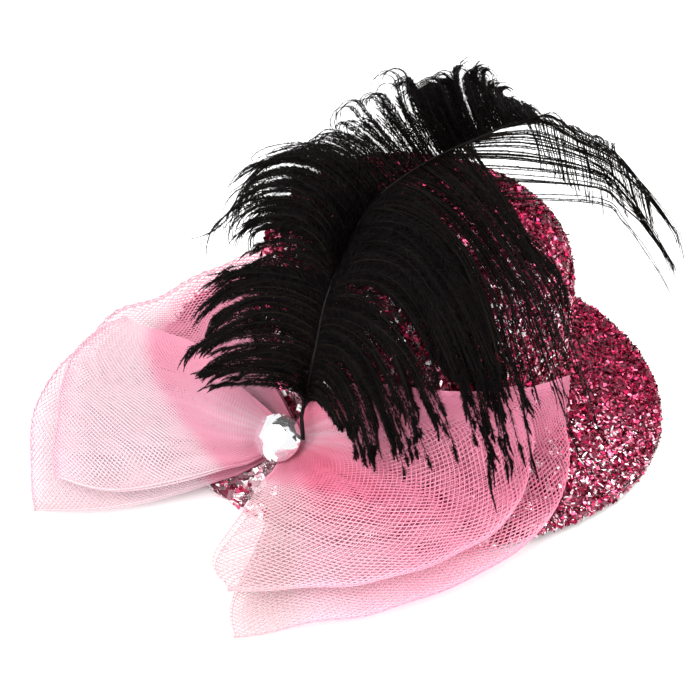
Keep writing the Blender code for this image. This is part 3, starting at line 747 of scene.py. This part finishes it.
def tail_paths(count):
    """Rows of barb points that run side by side between the tail's two edges."""
    level = np.sort(draw.uniform(0, 1, count)) ** 1.3
    bundle = TAIL_BUNDLES[np.abs(level[:, None] - TAIL_BUNDLES).argmin(1)] + draw.normal(0, 0.03, count)
    root = quill_at(TAIL_ROOT - TAIL_ROOT_SPAN * level ** 0.8)
    upper = QUILL_ROWS[-len(TAIL_EDGE):]
    drift = ease(np.arange(len(upper)) / (len(upper) - 1))
    levels = (level[:, None] + (bundle - level)[:, None] * drift)[:, :, None]
    route = upper + (TAIL_EDGE - upper) * levels + draw.normal(0, 0.4 * MM, (count, len(upper), 3))
    first = root + (route[:, 0] - root) * 0.5 + TAIL_LIFT * (1 - level[:, None])
    last = route[:, -1] + TAIL_END * draw.uniform(0.2, 1.4, (count, 1))
    route = np.concatenate([root[:, None], first[:, None], route, last[:, None]], axis=1)
    ends = draw.uniform(0.72, 1.0, count)
    share = np.linspace(0, 1, BARB_POINTS + HOOK_POINTS)
    paths = np.stack([smooth_curve(rows, share * end * (len(rows) - 1))
                      for rows, end in zip(route, ends)])
    return above_hat(paths, BARB_CLEARANCE)


tail_barbs = tail_paths(46)
over_tail = barb_paths("left", 8.2, 10.0, 44, 3, (0.4, 1.0), (0.3, 1.2), (0.8, -0.2, -0.5))
under_tail = barb_paths("under", 8.0, 11.0, 70, 3, (0.5, 1.0), (0.2, 0.7), DROOP)
print(sum(map(len, (low_left, middle_left, high_left, hooked_left, top_left, fore_left, short_left,
                    low_right, high_right, short_right, loose_right, stray_right, tail_barbs, over_tail,
                    under_tail))), "barbs")

# %% Barbules
BARBULE_WIDTH = 0.20 * MM
BARBULE_TAPER = 0.85            # how much shorter the barbules at a barb's tip are
FLOOR_GAP = 0.1 * MM


def barbules(paths, longest, gap):
    """Spikes on both sides of each barb, slanting towards its tip: one slender triangle each."""
    lengths = np.linalg.norm(np.diff(paths, axis=1), axis=2).sum(1)
    spikes = []
    for path, length in zip(paths, lengths):
        count = 2 * max(4, int(length / gap))
        share = np.sort(draw.uniform(0.0, 1, count))
        where = share * (len(path) - 1)
        at = smooth_curve(path, where)
        ahead = unit(smooth_curve(path, where + 0.3) - smooth_curve(path, where - 0.3))
        face = unit(at - CROWN_MIDDLE + draw.normal(0, 10 * MM, at.shape))
        side = unit(np.cross(ahead, face)) * np.tile((1, -1), count // 2)[:, None]
        size = longest * (1 - BARBULE_TAPER * share ** 1.8) * draw.uniform(0.5, 1.1, count)
        slant = draw.uniform(0.7, 1.5, (count, 1)) + 1.5 * share[:, None] ** 2
        way = unit(side + ahead * slant + draw.normal(0, 0.15, at.shape))
        wide = unit(np.cross(way, face + draw.normal(0, 0.5, at.shape))) * BARBULE_WIDTH / 2
        spikes.append(np.stack([at - wide, at + wide, at + way * size[:, None]], 1))
    points = np.concatenate(spikes).reshape(-1, 3)
    points[:, 2] = np.maximum(points[:, 2], FLOOR_GAP)
    return points, np.arange(len(points)).reshape(-1, 3)


# %% Feather material and its pieces
# The shafts are painted lighter and browner than the fringe, a painted sheen that gives the fine
# streaks of light along the barbs.
SHAFT_SHEEN_BLACK, FRINGE_BLACK = (0.007, 0.0055, 0.004, 1.0), (0.002, 0.0013, 0.0016, 1.0)
BARB_RADIUS, BARB_END = 0.17 * MM, 0.4              # at its root, and the share left at its tip
GLOW_PATCHES, GLOW = 4, (0.5, 1.5)                  # patches for each barb, and their brightness
plume, plume_shader = start_material("plume_black", Roughness=0.5, Specular_IOR_Level=0.045)
join_tint(plume, plume_shader)


def vane(name, *groups):
    """One piece of barbs; a group is its barb paths, longest barbule and gap between barbules."""
    parts = []
    for paths, longest, gap in groups:
        shafts = tubes(paths, BARB_RADIUS * np.linspace(1, BARB_END, paths.shape[1]))
        fringe = barbules(paths, longest, gap)
        patches = len(paths) * GLOW_PATCHES
        for (points, faces), black in ((shafts, SHAFT_SHEEN_BLACK), (fringe, FRINGE_BLACK)):
            glow = np.repeat(draw.uniform(*GLOW, patches), math.ceil(len(points) / patches))
            parts.append((points, faces, np.array(black) * glow[:len(points), None]))
    points, faces, colours = merged(parts)
    colours[:, 3] = 1
    piece = mesh_piece(name, points + hat_middle, faces, plume, colours, smooth=False)
    print(name, len(faces), "triangles")
    return piece


left_vane = vane("left_vane", (low_left, 2.6 * MM, 0.26 * MM), (middle_left, 2.6 * MM, 0.26 * MM),
                 (high_left, 2.4 * MM, 0.28 * MM), (short_left, 2.6 * MM, 0.26 * MM))
vane("right_vane", (low_right, 2.8 * MM, 0.26 * MM), (high_right, 2.8 * MM, 0.26 * MM),
     (short_right, 2.8 * MM, 0.26 * MM))
vane("loose_vane", (loose_right, 1.3 * MM, 0.34 * MM), (stray_right, 1.2 * MM, 0.4 * MM))
vane("top_vane", (top_left, 2.8 * MM, 0.24 * MM), (fore_left, 2.6 * MM, 0.24 * MM),
     (hooked_left, 2.6 * MM, 0.28 * MM))
vane("tail_vane", (tail_barbs, 1.5 * MM, 0.4 * MM), (over_tail, 1.2 * MM, 0.3 * MM),
     (under_tail, 2.0 * MM, 0.35 * MM))
quill_finish, _ = start_material("quill_horn", Base_Color=(0.005, 0.004, 0.005, 1.0), Roughness=0.5,
                                 Specular_IOR_Level=0.12)
quill_share = np.linspace(0, 1, len(quill_points))
quill_width = np.interp(quill_share, (0, 0.6, 0.75, 1), (0.65, 0.35, 0.18, 0.10)) * MM
quill_rings, quill_faces = tubes(quill_points[None], quill_width)
quill = mesh_piece("quill", quill_rings + hat_middle, quill_faces, quill_finish)
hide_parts("feather")

# %% [markdown]
# The stone is glass, silvered behind, so it looks white with a few grey facets. A brilliant cut
# has an eight-sided table, stars and kites round it, and a girdle that looks round. The convex
# hull of a few rings of points gives all its flat facets at once.

# %% Stone
STONE_RINGS = (                 # radius, height over the culet, sides, shift of the first corner
    (3.6, 0.0, 16, 0.5), (6.1, 2.25, 32, 0.0), (6.1, 2.6, 32, 0.0), (5.4, 3.4, 16, 0.5),
    (4.4, 4.2, 8, 0.0), (3.1, 4.7, 8, 0.5),
)
STONE_OUT, STONE_DROP = 13.0 * MM, 1.0 * MM
level_out = Vector((math.cos(PINCH_DIRECTION), math.sin(PINCH_DIRECTION) / OVAL, 0)).normalized()
stone_axis = (level_out + Vector((0, 0, 1))).normalized()
stone_side = Vector((0, 0, 1)).cross(level_out)
stone_up = stone_axis.cross(stone_side)
facing = (stone_axis + 0.3 * back).normalized()      # it is glued on turned a little to the front
facing_side = upward.cross(facing).normalized()
facing_up = facing.cross(facing_side)
corner = Vector(oval_point(CROWN_REACH, PINCH_DIRECTION, brim_top(CROWN_REACH, PINCH_DIRECTION)))
culet = corner + stone_axis * STONE_OUT - stone_up * STONE_DROP + Vector(hat_middle)
cut = bmesh.new()
for radius, height, sides, shift in STONE_RINGS:
    for side in range(sides):
        turn = 2 * math.pi * (side + shift) / sides
        spoke = facing_side * math.cos(turn) + facing_up * math.sin(turn)
        cut.verts.new(culet + (facing * height + spoke * radius) * MM)
bmesh.ops.convex_hull(cut, input=cut.verts)
bmesh.ops.recalc_face_normals(cut, faces=cut.faces)
stone_mesh = bpy.data.meshes.new("cut_stone")
cut.to_mesh(stone_mesh)
cut.free()
stone_finish, _ = start_material("cut_glass", Base_Color=(0.93, 0.94, 0.96, 1.0), Roughness=0.04,
                                 Metallic=0.9)
stone_mesh.materials.append(stone_finish)
stone = bpy.data.objects.new("cut_stone", stone_mesh)
bpy.context.scene.collection.objects.link(stone)
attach(stone, "root")
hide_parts("rhinestone")
print(len(stone_mesh.polygons), "facets")

# %% [markdown]
# The clip is plain spring steel, brushed along its length. The frame's strip keeps its shape.

# %% Clip
steel, steel_shader = start_material("spring_steel", Metallic=1.0, Roughness=0.3)
spot = add_node(steel, "TexCoord").outputs["Object"]
brushed = add_node(steel, "Mapping", {"Vector": spot, "Scale": (150.0, 150.0, 3000.0)})
streak = add_node(steel, "TexNoise", {"Vector": brushed.outputs["Vector"], "Scale": 1.0, "Detail": 3.0})
greys = ramp(steel, streak.outputs["Fac"], [(0.3, (0.45, 0.45, 0.47)), (0.7, (0.68, 0.68, 0.70))])
join(steel, greys, steel_shader, "Base Color")
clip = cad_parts["hair_clip"]
clip.data.materials.clear()
clip.data.materials.append(steel)
print("brushed", clip.name)

# %% [markdown]
# A photograph for a shop page has a white floor and broad, soft lamps. A large lamp hangs above
# and in front, two weaker ones fill from the right and from behind, and the world is white.

# %% Floor and lamps
floor_mesh = bpy.data.meshes.new("floor")
floor_shape = bmesh.new()
bmesh.ops.create_grid(floor_shape, x_segments=1, y_segments=1, size=3.0)
floor_shape.to_mesh(floor_mesh)
floor_shape.free()
floor_finish, _ = start_material("white_floor", Base_Color=(0.92, 0.92, 0.92, 1.0), Roughness=0.9)
floor_mesh.materials.append(floor_finish)
floor = bpy.data.objects.new("floor", floor_mesh)
bpy.context.scene.collection.objects.link(floor)


def lamp(name, place, size, power):
    """A square soft lamp, its side in metres and its power in watts, that points at the hat."""
    data = bpy.data.lights.new(name, "AREA")
    data.size, data.energy = size, power
    made = bpy.data.objects.new(name, data)
    made.location = place
    made.rotation_euler = (Vector((0, 0, 0.03)) - Vector(place)).to_track_quat("-Z", "Y").to_euler()
    bpy.context.scene.collection.objects.link(made)


lamp("key_lamp", (-0.5, -0.7, 1.0), 0.7, 17)
lamp("fill_lamp", (0.9, -0.4, 0.7), 0.8, 7)
lamp("rear_lamp", (0.2, 0.9, 0.9), 0.8, 7)
world = bpy.data.worlds.new("studio")
world.use_nodes = True
world.node_tree.nodes["Background"].inputs["Color"].default_value = (1.0, 1.0, 1.0, 1.0)
world.node_tree.nodes["Background"].inputs["Strength"].default_value = 0.95
bpy.context.scene.world = world
bpy.context.scene.view_settings.view_transform = "Standard"
print("three lamps")
